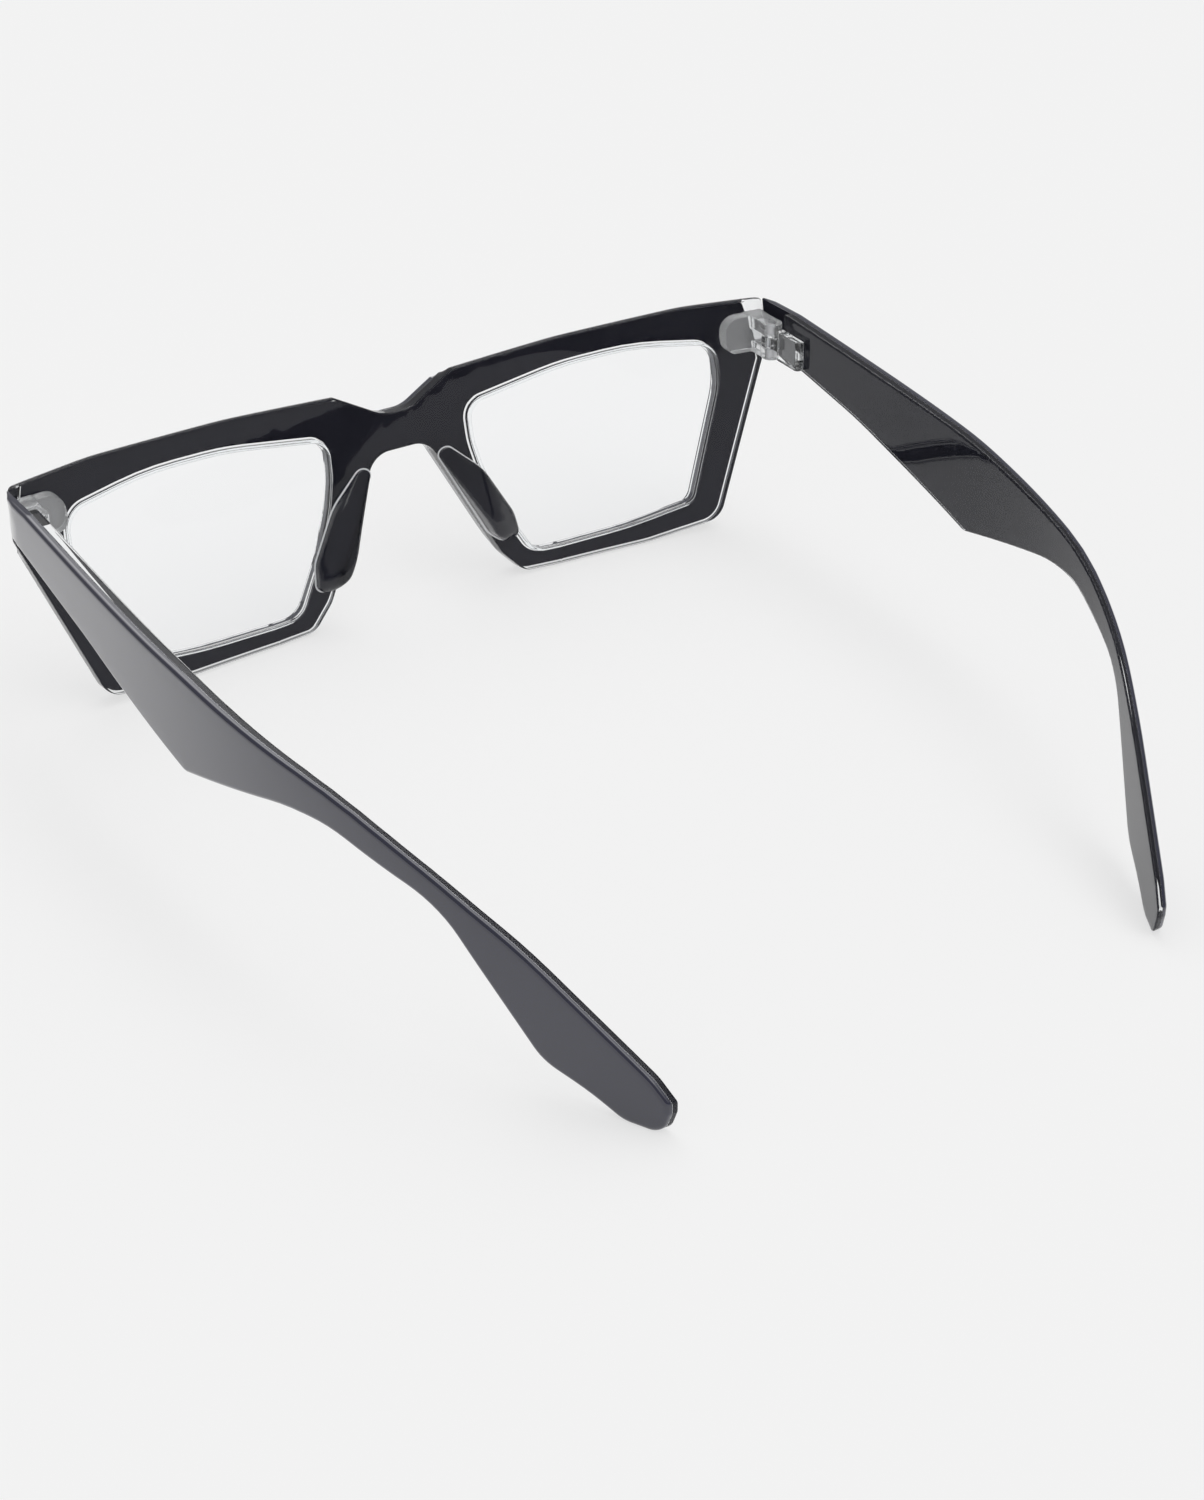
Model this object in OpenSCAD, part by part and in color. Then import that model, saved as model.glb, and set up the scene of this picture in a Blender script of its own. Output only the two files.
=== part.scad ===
// Rectangular eyeglasses standing open on the rim bottoms and the temple tips.
// Millimetres. The lenses face -Y, the temples run to +Y, up is +Z and the
// wearer's left is +X. Every piece is a solid of its own.

/* [Front] */
// width over the outer faces of the two temples at the hinges
frame_width = 145; // [140:0.5:150]
// height of the brow above the rim bottoms, along the front
brow_height = 41.2; // [40.5:0.1:43]
// how much lower the brow is beside the bridge than at its highest
brow_fall_inner = 2; // [1:0.1:4]
// how much lower the brow is at the end pieces than at its highest
brow_fall_outer = 0.7; // [0:0.1:2]
// height of the end pieces that carry the hinges
end_piece_height = 8.2; // [7.8:0.1:10]
// lean of the front from upright, top away from the wearer
front_lean = 10.2; // [4:0.1:14]
// radius of the wrap, on the face that looks at the wearer
wrap_radius = 455; // [300:1:700]
// thickness of the black front layer
black_front_thickness = 1.8; // [1:0.1:3]
// thickness of the clear rear layer
clear_front_thickness = 2.6; // [2.4:0.1:3.4]
// slope of the bevel along the front edge of the brow
brow_bevel = 30; // [20:1:45]
// where the bevel starts, from the face that looks at the wearer
bevel_start = 1.2; // [0.8:0.1:3]
// radius of the outer corners, seen from above
corner_radius = 10; // [7:0.1:10]
// how far the edge of the black layer stays inside the edge of the clear one
black_setback = 0.3; // [0.1:0.05:0.5]
// glue line between bonded pieces
glue_line = 0.04; // [0.02:0.01:0.1]

/* [Bridge] */
// half of the width between the two brow notches
notch_half_width = 11.2; // [10:0.1:13]
// depth of the saddle below the notch corners
saddle_depth = 4.9; // [3:0.1:6]
// thickness of the bridge from its top to its arch
bridge_thickness = 6.5; // [4.5:0.1:8]
// half of the width of the nose arch
arch_half_width = 5.1; // [4:0.1:6]
// how far the nasal rims spread on their way down
nasal_spread = 15.5; // [14:0.1:16.5]

/* [Lens openings] */
// width of the rim between an opening and the outer face of the temple
rim_outside = 10.1; // [9.8:0.1:12]
// width of the rim above an opening, at the highest point of the brow
rim_above = 5; // [4.8:0.1:6.5]
// half of the distance between the two openings, at the brow
opening_inner_x = 13; // [12.6:0.1:15]
// width of the rim below an opening
rim_below = 2.6; // [2:0.1:4]
// how far the clear layer reaches into the black opening
clear_lip = 0.9; // [0.4:0.1:1.4]
// depth of the lens groove
groove_depth = 0.7; // [0.4:0.1:1]
// width of the lens groove
groove_width = 1.3; // [1:0.1:1.5]
// lens groove from the face that looks at the wearer
groove_setback = 0.8; // [0.6:0.1:1]
// free play of a lens in its groove, on each side
lens_play = 0.05; // [0.02:0.01:0.15]

/* [Nose pads] */
// length of a pad
pad_length = 22; // [18:0.1:23]
// widest part of a pad
pad_width = 5.6; // [5:0.1:6]
// how far a pad stands out behind the front
pad_rise = 4.6; // [2.5:0.1:5.5]
// lean of a pad outward on its way down
pad_splay = 26; // [22:1:30]
// middle of a pad from the middle of the frame
pad_x = 13.7; // [13.2:0.1:14]
// how far below the nose arch the middle of a pad lies
pad_drop = 11.2; // [10:0.1:12]

/* [Temples] */
// how far a temple has come inward where its curve ends
inward_shift = 16.75; // [14:0.25:18]
// distance from the front to the end of that curve
curve_end_y = 119; // [114:1:124]
// how much the curve tightens on its way back
curve_power = 3.3; // [2.9:0.1:3.6]
// thickness of the black outer layer at the front end
black_temple_thickness = 1.3; // [1:0.1:1.6]
// thickness of the clear inner layer at the front end
clear_temple_thickness = 1.6; // [1.4:0.1:2]
// thickness at the tip as a share of the thickness at the front end
tip_share = 0.57; // [0.5:0.01:0.9]
// height of a temple at its front end
temple_height = 7.4; // [6.8:0.1:9]
// distance from the front to the deepest point of a temple
blade_y = 61; // [56:0.1:66]
// height of a temple at its deepest point
blade_height = 16.4; // [14:0.1:19]
// place of the slim neck, as a share of the way from the deepest point to the tip
neck_share = 0.518; // [0.5:0.002:0.54]
// height of a temple at the neck
neck_height = 4.8; // [4:0.1:6]
// place of the lower corner of the paddle, as a share of the same way
paddle_share = 0.795; // [0.77:0.005:0.83]
// distance from the front to the end of a temple
tip_y = 144; // [142:0.1:147]
// gap between a temple end and the front when open
butt_gap = 0.3; // [0.25:0.05:0.6]

/* [Hinges] */
// hinge line inward of the outer face of a temple
hinge_inset = 3.6; // [3.6:0.1:4.4]
// hinge line behind the middle of the frame front
hinge_y = 5; // [4.6:0.1:6]
// outer radius of the knuckles
knuckle_radius = 1.8; // [1.6:0.05:1.85]
// how far the hinge starts below the top of the end pieces
hinge_drop = 1.8; // [0.6:0.1:2.2]
// height of the whole stack of knuckles
hinge_height = 6.6; // [6:0.1:7]
// play between one knuckle and the next
knuckle_gap = 0.1; // [0.05:0.01:0.2]
// radius of the hinge pin
pin_radius = 0.7; // [0.5:0.05:0.9]
// running clearance of the pin in the temple knuckle
pin_clearance = 0.04; // [0.02:0.01:0.08]
// clearance of the pin where the front knuckles grip it
pin_grip = 0.01; // [0.01:0.01:0.03]
// width of the block on the front
front_block_width = 8.4; // [6.5:0.1:9]
// how far the block stands out behind the front
front_block_depth = 2.2; // [1.8:0.1:2.8]
// length of the block on the temple
temple_block_length = 6.4; // [5:0.1:8]
// how far the block stands out of the temple
temple_block_depth = 1.6; // [1.2:0.1:2]

/* [Hidden] */
$fn = 64;
eps = 0.01;
wide = 720;
half_width = frame_width / 2;
front_thickness = black_front_thickness + clear_front_thickness;
nasal_foot_x = arch_half_width + nasal_spread;
rest_x = nasal_foot_x + 7;
rest_span = 18;
rest_drop = max(clear_front_thickness * sin(front_lean),
  front_thickness * sin(front_lean) - black_setback * cos(front_lean));
rest_lift = rest_drop + rest_span * rest_span / 8 / wrap_radius * sin(front_lean);
hinge_x = half_width - hinge_inset;
end_x = half_width - 1;
// the rounded corners that the front and the temple roots share, seen from above
corner_y = 3.9;
arc_step = 9;

// Corner points are [x, y, fillet radius].
function along(v) = v / norm(v);

function turn(d) = d > 180 ? d - 360 : d < -180 ? d + 360 : d;

function fillet(a, p, b) =
  let(
    u = along([a[0] - p[0], a[1] - p[1]]),
    w = along([b[0] - p[0], b[1] - p[1]]),
    half = acos(max(-1, min(1, u * w))) / 2
  )
  p[2] < 0.05 || half > 89.7 ? [[p[0], p[1]]] :
  let(
    room = 0.49 * min(norm([a[0] - p[0], a[1] - p[1]]), norm([b[0] - p[0], b[1] - p[1]])),
    r = min(p[2], room * tan(half)),
    c = [p[0], p[1]] + along(u + w) * r / sin(half),
    s = [p[0], p[1]] + u * r / tan(half) - c,
    e = [p[0], p[1]] + w * r / tan(half) - c,
    a0 = atan2(s[1], s[0]),
    sweep = turn(atan2(e[1], e[0]) - a0),
    n = max(2, ceil(abs(sweep) / arc_step))
  )
  [for (i = [0:n]) c + r * [cos(a0 + sweep * i / n), sin(a0 + sweep * i / n)]];

function rounded(q) =
  let(n = len(q))
  [for (i = [0:n - 1]) each fillet(q[(i + n - 1) % n], q[i], q[(i + 1) % n])];

// Moves every side of a clockwise outline inward by d.
function normal_of(a, b) = let(u = along([b[0] - a[0], b[1] - a[1]])) [u[1], -u[0]];

function inset(q, d) =
  let(n = len(q))
  [for (i = [0:n - 1])
    let(
      n1 = normal_of(q[(i + n - 1) % n], q[i]),
      n2 = normal_of(q[i], q[(i + 1) % n]),
      m = (n1 + n2) / (1 + n1 * n2)
    )
    [q[i][0] + m[0] * d, q[i][1] + m[1] * d, max(0.6, q[i][2] - d)]];

// Heights are given for the standing frame. The wrap lifts the leaned ends by
// this much, so it comes off the outline.
function end_rise(x) = x * x / 2 / wrap_radius * tan(front_lean);

function levelled(q) = [for (v = q) [v[0], v[1] - end_rise(v[0]), v[2]]];

function flipped(q) = [for (i = [len(q) - 1:-1:0]) [-q[i][0], q[i][1], q[i][2]]];

// Outline of the front, left half, from the bridge over the brow and round.
notch_h = brow_height - brow_fall_inner;
saddle_h = notch_h - saddle_depth;
arch_h = saddle_h - bridge_thickness;
end_h = brow_height - brow_fall_outer;

front_half = [
  [notch_half_width - 8.6, saddle_h, 6],
  [notch_half_width, notch_h, 0.8],
  [notch_half_width + 20, notch_h + 1.3, 120],
  [half_width - 16.5, brow_height, 60],
  [end_x, end_h, 1.2],
  [end_x, end_h - end_piece_height, 4],
  [end_x - 11.7, 1.4, 4.2],
  [rest_x + rest_span, 0, 30],
  [rest_x, 0, 20],
  [nasal_foot_x, 0.3, 3.5],
  [nasal_foot_x - 3.9, 4.5, 6],
  [arch_half_width, arch_h, 4.5],
];

front_outline = levelled(concat(front_half, flipped(front_half)));
black_outline = inset(front_outline, black_setback);

// One opening in the black layer, seen from behind with the nose to the right.
o_in = opening_inner_x;
o_out = half_width - rim_outside;
o_wide = o_out - o_in;
o_top = brow_height - rim_above;
o_high = o_top - rim_below;

opening_outline = levelled([
  [o_in - 0.2, o_top - 3.3, 6],
  [o_in + 0.385 * o_wide, o_top - 0.2, 60],
  [o_in + 0.678 * o_wide, o_top + 0.3, 60],
  [o_out - 0.2, o_top - 2, 6],
  [o_out + 0.2, o_top - 0.3 * o_high, 15],
  [o_out - 6.9, rim_below + 2.4, 3],
  [o_in + 0.587 * o_wide, rim_below + 0.4, 80],
  [o_in + 0.304 * o_wide, rim_below, 20],
  [o_in + 9.4, rim_below + 0.2, 5],
  [o_in + 4.4, rim_below + 0.28 * o_high, 30],
  [o_in + 1.2, rim_below + 0.527 * o_high, 20],
  [o_in, rim_below + 0.685 * o_high, 15],
]);

clear_outline = inset(opening_outline, clear_lip);
groove_outline = inset(clear_outline, -groove_depth);
lens_outline = inset(groove_outline, lens_play);

// Side outline of a temple in [y, z], clockwise from the top front corner.
temple_top = end_h * cos(front_lean) + rest_lift + 0.8;
blade_top = temple_top - 2.9;

// A place behind the deepest point, as a share of the way from there to the tip.
function rear_y(part) = blade_y + part * (tip_y - blade_y);

temple_outline = [
  [-8, temple_top - 0.9, 0],
  [9, temple_top - 0.42, 12],
  [blade_y, blade_top, 150],
  [rear_y(neck_share - 0.084), temple_top - 6.8, 60],
  [rear_y(neck_share + 0.096), temple_top - 12.7, 60],
  [rear_y(neck_share + 0.241), temple_top - 19.6, 60],
  [tip_y - 2.5, 8.2, 8],
  [tip_y, 5.2, 1],
  [tip_y, 3.6, 1.6],
  [tip_y - 1, 0, 2.2],
  [tip_y - 6, 0, 4],
  [rear_y(paddle_share + 0.078), 2.6, 30],
  [rear_y(paddle_share), 5.1, 7],
  [rear_y(neck_share + 0.106), temple_top - 11.9 - neck_height, 14],
  [rear_y(neck_share - 0.108), temple_top - 7 - neck_height, 20],
  [rear_y(neck_share - 0.211), temple_top - 12.4, 40],
  [blade_y, blade_top - blade_height, 3],
  [blade_y - 31, temple_top - temple_height - 4.5, 100],
  [2, temple_top - temple_height, 0],
  [-8, temple_top - temple_height + 1.7, 0],
];

// The foremost point is the front edge of the saddle's shoulder.
shoulder_x = notch_half_width - 2.5;
shoulder_h = saddle_h + (shoulder_x - notch_half_width + 8.6) * saddle_depth / 8.6
  - black_setback * norm([saddle_depth, 8.6]) / 8.6;
front_near = (front_thickness - shoulder_x * shoulder_x / 2 / wrap_radius) * cos(front_lean)
  + (shoulder_h - end_rise(shoulder_x)) * sin(front_lean);
mid_y = (tip_y - front_near) / 2;

// Stands the frame over its middle.
module placed() {
  translate([0, -mid_y, 0]) children();
}

// Puts a shape drawn in the leaned frame of the front into place.
module leaned() {
  translate([0, 0, rest_lift]) rotate([front_lean, 0, 0]) children();
}

// Everything on the wearer's side of a surface parallel to the rear face.
module behind(setback) {
  leaned()
    translate([0, wrap_radius, 0])
      cylinder(h = 240, r = wrap_radius - setback, center = true, $fn = wide);
}

// A layer of the front between two depths before the rear face.
module wrap_layer(near, far) {
  translate([0, wrap_radius, -20])
    difference() {
      cylinder(h = 90, r = wrap_radius + far, $fn = wide);
      translate([0, 0, -1]) cylinder(h = 92, r = wrap_radius + near, $fn = wide);
    }
}

// An outline drawn in [x, height], made into a block through the front.
module through(points) {
  translate([0, 25, 0]) rotate([90, 0, 0]) linear_extrude(height = 40) polygon(points);
}

// Height of the brow above a point x along the front.
function brow_at(x) = lookup(x, [
  [notch_half_width, notch_h],
  [notch_half_width + 20, notch_h + 1.3],
  [half_width - 16.5, brow_height],
  [end_x, end_h]]);

// What the bevel takes off the front edge of the brow.
bevel_x = notch_half_width - 2.5;

module brow_cut() {
  rotate([brow_bevel, 0, 0])
    rotate([90, 0, 0])
      linear_extrude(height = 60, center = true)
        polygon(concat(
          [for (i = [0:9])
            let(x = bevel_x + (end_x + 2 - bevel_x) * i / 9)
            [x, cos(brow_bevel) * (brow_at(x) - end_rise(x))
              - sin(brow_bevel) * (x * x / 2 / wrap_radius - bevel_start)]],
          [[end_x + 2, brow_height + 30], [bevel_x, brow_height + 30]]));
}

// What the rounded corners take off, one side.
module corner_cut() {
  difference() {
    translate([half_width - corner_radius, corner_y - corner_radius - 20, -20])
      cube([corner_radius + 10, corner_radius + 20, 90]);
    translate([half_width - corner_radius, corner_y, -21])
      cylinder(h = 92, r = corner_radius, $fn = 128);
  }
}

module corners_off() {
  difference() {
    children();
    corner_cut();
    mirror([1, 0, 0]) corner_cut();
  }
}

module front_blank(edge) {
  difference() {
    through(rounded(edge));
    brow_cut();
    mirror([1, 0, 0]) brow_cut();
  }
}

module opening_pair(q) {
  through(rounded(q));
  mirror([1, 0, 0]) through(rounded(q));
}

module on_right() {
  mirror([1, 0, 0]) children();
}

module front_black_layer() {
  color("#1b1b1e")
    placed() corners_off() leaned()
      intersection() {
        wrap_layer(clear_front_thickness + glue_line, front_thickness);
        difference() {
          front_blank(black_outline);
          opening_pair(opening_outline);
        }
      }
}

module front_clear_layer() {
  color("#e6ecef")
    placed() corners_off() leaned()
      difference() {
        intersection() {
          wrap_layer(0, clear_front_thickness);
          difference() {
            front_blank(front_outline);
            opening_pair(clear_outline);
          }
        }
        intersection() {
          wrap_layer(groove_setback, groove_setback + groove_width);
          opening_pair(groove_outline);
        }
      }
}

module lens() {
  leaned()
    intersection() {
      wrap_layer(groove_setback + lens_play, groove_setback + groove_width - lens_play);
      through(rounded(lens_outline));
    }
}

module lens_left() {
  color("#dfeaf0") placed() lens();
}

module lens_right() {
  color("#dfeaf0") placed() on_right() lens();
}

pad_middle = arch_h - pad_drop;

// Leaf outline of a pad, long way up, seen along the front's depth.
pad_outline = [
  [-pad_width * 0.5, pad_length * 0.5, 1],
  [-pad_width * 0.1, pad_length * 0.5, 2],
  [pad_width * 0.42, pad_length * 0.16, 10],
  [pad_width * 0.5, -pad_length * 0.3, 5],
  [pad_width * 0.2, -pad_length * 0.5, 2.4],
  [-pad_width * 0.25, -pad_length * 0.46, 3],
  [-pad_width * 0.5, -pad_length * 0.32, 5],
];

// Side of a pad: how far it stands out on its way up.
pad_side = [
  [-4, pad_length * 0.51, 0],
  [0.25, pad_length * 0.5, 1],
  [pad_rise, -pad_length * 0.18, 12],
  [pad_rise * 0.8, -pad_length * 0.4, 2.4],
  [0.25, -pad_length * 0.5, 0.6],
  [-4, -pad_length * 0.51, 0],
];

// End view of a pad: highest at the nose, falling towards the lens.
pad_end = [
  [-pad_width, -4, 0],
  [-pad_width, pad_rise + 2.2, 0],
  [-pad_width * 0.42, pad_rise + 0.3, 2],
  [pad_width * 0.5, pad_rise * 0.3, 2],
  [pad_width, -4, 0],
];

// The flat back of a pad stands this far off the curved front at its middle.
pad_foot = glue_line + pad_length * pad_length / 16 / wrap_radius * sin(pad_splay);

module nose_pad() {
  leaned()
    translate([pad_x, pad_x * pad_x / 2 / wrap_radius, pad_middle])
      rotate([0, 0, asin(pad_x / wrap_radius)])
        rotate([0, -pad_splay, 0])
          intersection() {
            translate([0, pad_foot + 12, 0])
              rotate([90, 0, 0])
                linear_extrude(height = 12) polygon(rounded(pad_outline));
            translate([-10, 0, 0])
              rotate([90, 0, 90])
                linear_extrude(height = 20) polygon(rounded(pad_side));
            linear_extrude(height = 40, center = true) polygon(rounded(pad_end));
          }
}

module nose_pad_left() {
  color("#d5dde2") placed() nose_pad();
}

module nose_pad_right() {
  color("#d5dde2") placed() on_right() nose_pad();
}

// Knuckle stack, from the bottom: front, temple, front.
hinge_top = end_h * cos(front_lean) + rest_lift - hinge_drop;
knuckle_height = (hinge_height - 2 * knuckle_gap) / 3;
hinge_foot = hinge_top - hinge_height;
middle_foot = hinge_foot + knuckle_height + knuckle_gap;
top_foot = middle_foot + knuckle_height + knuckle_gap;
swing_room = knuckle_radius + 0.2;

// The arms of the knuckles are this much slimmer than the knuckles on each side,
// and stand this much proud of the block above and below.
arm_step = 0.15;

module knuckle(foot) {
  translate([hinge_x, hinge_y, foot]) cylinder(h = knuckle_height, r = knuckle_radius);
}

module front_arm(foot) {
  translate([hinge_x - knuckle_radius + arm_step, hinge_y - 12, foot])
    cube([2 * knuckle_radius - 2 * arm_step, 12, knuckle_height]);
}

module front_block() {
  intersection() {
    behind(glue_line);
    difference() {
      union() {
        knuckle(hinge_foot);
        knuckle(top_foot);
        front_arm(hinge_foot);
        front_arm(top_foot);
        difference() {
          translate([hinge_x + knuckle_radius - front_block_width, -20, hinge_foot])
            rotate([90, 0, 0])
              mirror([0, 0, 1])
                linear_extrude(height = 40)
                  polygon(rounded([
                    [0, arm_step, 2],
                    [0, hinge_height - arm_step, 3.2],
                    [front_block_width, hinge_height - arm_step, 0],
                    [front_block_width, arm_step, 0],
                  ]));
          behind(front_block_depth);
          translate([hinge_x, hinge_y, middle_foot - knuckle_gap])
            cylinder(h = knuckle_height + 2 * knuckle_gap, r = swing_room);
        }
      }
      translate([hinge_x, hinge_y, 0]) cylinder(h = 80, r = pin_radius + pin_grip);
    }
  }
}

module front_hinge_block_left() {
  color("#cfd8de") placed() front_block();
}

module front_hinge_block_right() {
  color("#cfd8de") placed() on_right() front_block();
}

// The temple's clear layer and its block start behind the knuckles.
inner_x = half_width - black_temple_thickness - clear_temple_thickness;
block_y = hinge_y + swing_room + 0.6;

module temple_block() {
  difference() {
    union() {
      translate([0, 0, middle_foot])
        linear_extrude(height = knuckle_height)
          polygon([
            [hinge_x - knuckle_radius, hinge_y],
            [inner_x - temple_block_depth, block_y + 0.6],
            [inner_x - temple_block_depth, block_y + 2],
            [inner_x - glue_line, block_y + 2],
            [inner_x - glue_line, block_y],
            [hinge_x + knuckle_radius, hinge_y],
          ]);
      knuckle(middle_foot);
      translate([0, block_y, hinge_foot + 0.6])
        linear_extrude(height = hinge_height - 1.2)
            polygon(rounded([
              [inner_x - temple_block_depth, 0, 0.5],
              [inner_x - temple_block_depth, temple_block_length, 1.2],
              [inner_x - glue_line, temple_block_length, 0],
              [inner_x - glue_line, 0, 0],
            ]));
    }
    translate([hinge_x, hinge_y, 0]) cylinder(h = 80, r = pin_radius + pin_clearance);
  }
}

module temple_hinge_block_left() {
  color("#c3ced6") placed() temple_block();
}

module temple_hinge_block_right() {
  color("#c3ced6") placed() on_right() temple_block();
}

module hinge_pin() {
  translate([hinge_x, hinge_y, hinge_foot]) cylinder(h = hinge_height, r = pin_radius);
}

module hinge_pin_left() {
  color("#b9bcc0") placed() hinge_pin();
}

module hinge_pin_right() {
  color("#b9bcc0") placed() on_right() hinge_pin();
}

// The outer face of a temple seen from above: how far it has come inward at y.
curve_start_y = 14;

function curve_part(y) = (y - curve_start_y) / (curve_end_y - curve_start_y);

function slope_at(y) =
  y <= curve_start_y ? 0 :
  inward_shift * curve_power / (curve_end_y - curve_start_y)
    * pow(min(1, curve_part(y)), curve_power - 1);

function shift_at(y) =
  y <= curve_start_y ? 0 :
  y < curve_end_y ? inward_shift * pow(curve_part(y), curve_power) :
  inward_shift + (y - curve_end_y) * slope_at(y);

// A temple thins evenly between these two places.
thin_from_y = 30;
thin_to_y = 110;

function eased(s) = s <= 0 ? 0 : s >= 1 ? 1 : s * s * (3 - 2 * s);

function share_at(y) = 1 - (1 - tip_share) * eased((y - thin_from_y) / (thin_to_y - thin_from_y));

function plan_point(y, depth, gap) =
  let(a = atan(slope_at(y)), d = depth * share_at(y) + gap)
  [half_width - shift_at(y) - d * cos(a), y - d * sin(a)];

plan_stations = concat([-10, curve_start_y], [for (i = [0:54]) 24 + i * (curve_end_y - 24) / 54], [170]);

// Plan of a temple layer between two depths inward of the outer face.
module plan_layer(near, far, gap) {
  polygon(concat(
    [for (y = plan_stations) plan_point(y, near, gap)],
    [for (i = [len(plan_stations) - 1:-1:0]) plan_point(plan_stations[i], far, 0)]));
}

module temple_layer(near, far, gap) {
  intersection() {
    linear_extrude(height = 60) plan_layer(near, far, gap);
    translate([-20, 0, 0])
      rotate([90, 0, 90])
        linear_extrude(height = 140) polygon(rounded(temple_outline));
    behind(butt_gap);
  }
}

module temple_outer() {
  difference() {
    temple_layer(0, black_temple_thickness, 0);
    corner_cut();
  }
}

module temple_inner() {
  difference() {
    temple_layer(black_temple_thickness,
      black_temple_thickness + clear_temple_thickness, glue_line);
    translate([0, -20, 0]) cube([100, block_y + 20, 80]);
  }
}

module temple_outer_left() {
  color("#26262a") placed() temple_outer();
}

module temple_outer_right() {
  color("#26262a") placed() on_right() temple_outer();
}

module temple_inner_left() {
  color("#dde4e8") placed() temple_inner();
}

module temple_inner_right() {
  color("#dde4e8") placed() on_right() temple_inner();
}

front_black_layer();
front_clear_layer();
lens_left();
lens_right();
nose_pad_left();
nose_pad_right();
front_hinge_block_left();
front_hinge_block_right();
temple_hinge_block_left();
temple_hinge_block_right();
hinge_pin_left();
hinge_pin_right();
temple_outer_left();
temple_outer_right();
temple_inner_left();
temple_inner_right();
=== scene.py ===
import math

import bmesh
import bpy
from mathutils import Matrix, Vector
from mathutils.geometry import delaunay_2d_cdt


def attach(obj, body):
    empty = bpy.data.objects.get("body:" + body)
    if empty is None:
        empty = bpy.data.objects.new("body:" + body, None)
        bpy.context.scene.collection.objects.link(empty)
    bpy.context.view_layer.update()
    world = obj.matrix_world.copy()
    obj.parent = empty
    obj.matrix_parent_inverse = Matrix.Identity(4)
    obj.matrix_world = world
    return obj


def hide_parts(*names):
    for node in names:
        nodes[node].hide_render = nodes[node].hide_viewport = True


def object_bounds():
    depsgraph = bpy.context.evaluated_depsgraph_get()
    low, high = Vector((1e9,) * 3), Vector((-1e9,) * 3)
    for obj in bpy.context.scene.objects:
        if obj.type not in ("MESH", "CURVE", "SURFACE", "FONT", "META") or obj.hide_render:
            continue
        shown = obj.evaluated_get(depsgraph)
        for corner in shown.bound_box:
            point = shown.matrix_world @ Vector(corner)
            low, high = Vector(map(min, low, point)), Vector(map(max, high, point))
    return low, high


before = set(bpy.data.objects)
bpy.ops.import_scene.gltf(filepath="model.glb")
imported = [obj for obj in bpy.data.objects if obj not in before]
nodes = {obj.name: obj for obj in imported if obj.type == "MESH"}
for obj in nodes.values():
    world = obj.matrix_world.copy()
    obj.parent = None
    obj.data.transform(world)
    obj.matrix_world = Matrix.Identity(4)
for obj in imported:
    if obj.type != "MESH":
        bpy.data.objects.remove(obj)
cad_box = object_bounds()
MM = 0.001

# Sizes in millimetres, as on the real frame. A depth in the front is counted from the face
# that looks at the wearer, and a depth in a temple from its outer face.
HALF_WIDTH = 72.5
MID_Y = 66.562
LEAN = math.radians(10.2)
WRAP = 455.0
BLACK_FRONT = 1.8
CLEAR_FRONT = 2.6
FRONT = BLACK_FRONT + CLEAR_FRONT
BEVEL_SLOPE = math.tan(math.radians(30))
BEVEL_START = 1.2
BEVEL_X = 8.7
CORNER_R = 10.0
CORNER_Y = 3.9
SETBACK = 0.3
REST_SPAN = 18
LIFT = (FRONT + REST_SPAN * REST_SPAN / 8 / WRAP) * math.sin(LEAN) - SETBACK * math.cos(LEAN)
LIP = 0.9
GROOVE_DEPTH = 0.7
GROOVE_NEAR, GROOVE_FAR = 0.8, 2.1
BLACK_TEMPLE = 1.3
CLEAR_TEMPLE = 1.6
GLUE_LINE = 0.04
BUTT_GAP = 0.3

# The edge of a black layer runs on into the clear one, a little inside it.
SUNK = 0.15
SUNK_TEMPLE_FROM, SUNK_TEMPLE_TO = 0.06, 0.2
SUNK_INSET = 0.1

# Radii of the rounded edges.
BLACK_FRONT_EDGE = 0.3
CLEAR_FRONT_EDGE = 0.35
LIP_EDGE = 0.15
BLACK_TEMPLE_EDGE = 0.7
CLEAR_TEMPLE_EDGE = 0.4

# How fine the meshes are: points along an outline, and between outlines on a face.
OUTLINE_STEP = 2.5
FRONT_STEP = 4.0
TEMPLE_STEP = 2.5
ARC_DEGREES = 6
EDGE_STEPS = 4
LIP_EDGE_STEPS = 2

# Limits for the geometry functions. A corner with a smaller fillet than SMALLEST_FILLET stays
# sharp. FACE_ROOM is a share of the step between points, and WELD and COLLAPSED are in metres.
TINY = 1e-9
NOT_ZERO = 1e-12
SMALLEST_FILLET = 0.05
ALMOST_STRAIGHT = math.radians(89.7)
FILLET_ROOM = 0.49
THIN_TRIANGLE = 0.01
FACE_ROOM = 0.35
SAME_POINT = 1e-6
WELD = 2e-7
COLLAPSED = 1e-7
NEIGHBOUR_ROUNDS = 6

# Material slots of a mesh.
# The third slot holds a pale ring round a pad's foot, a painted highlight along the pad's edge.
BODY, BONDED, PAINTED_RIM = 0, 1, 2


# Outlines: corner points with a fillet radius each.
def rise(x):
    """How much the wrap lifts the leaned front at x."""
    return x * x / 2 / WRAP * math.tan(LEAN)


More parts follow.
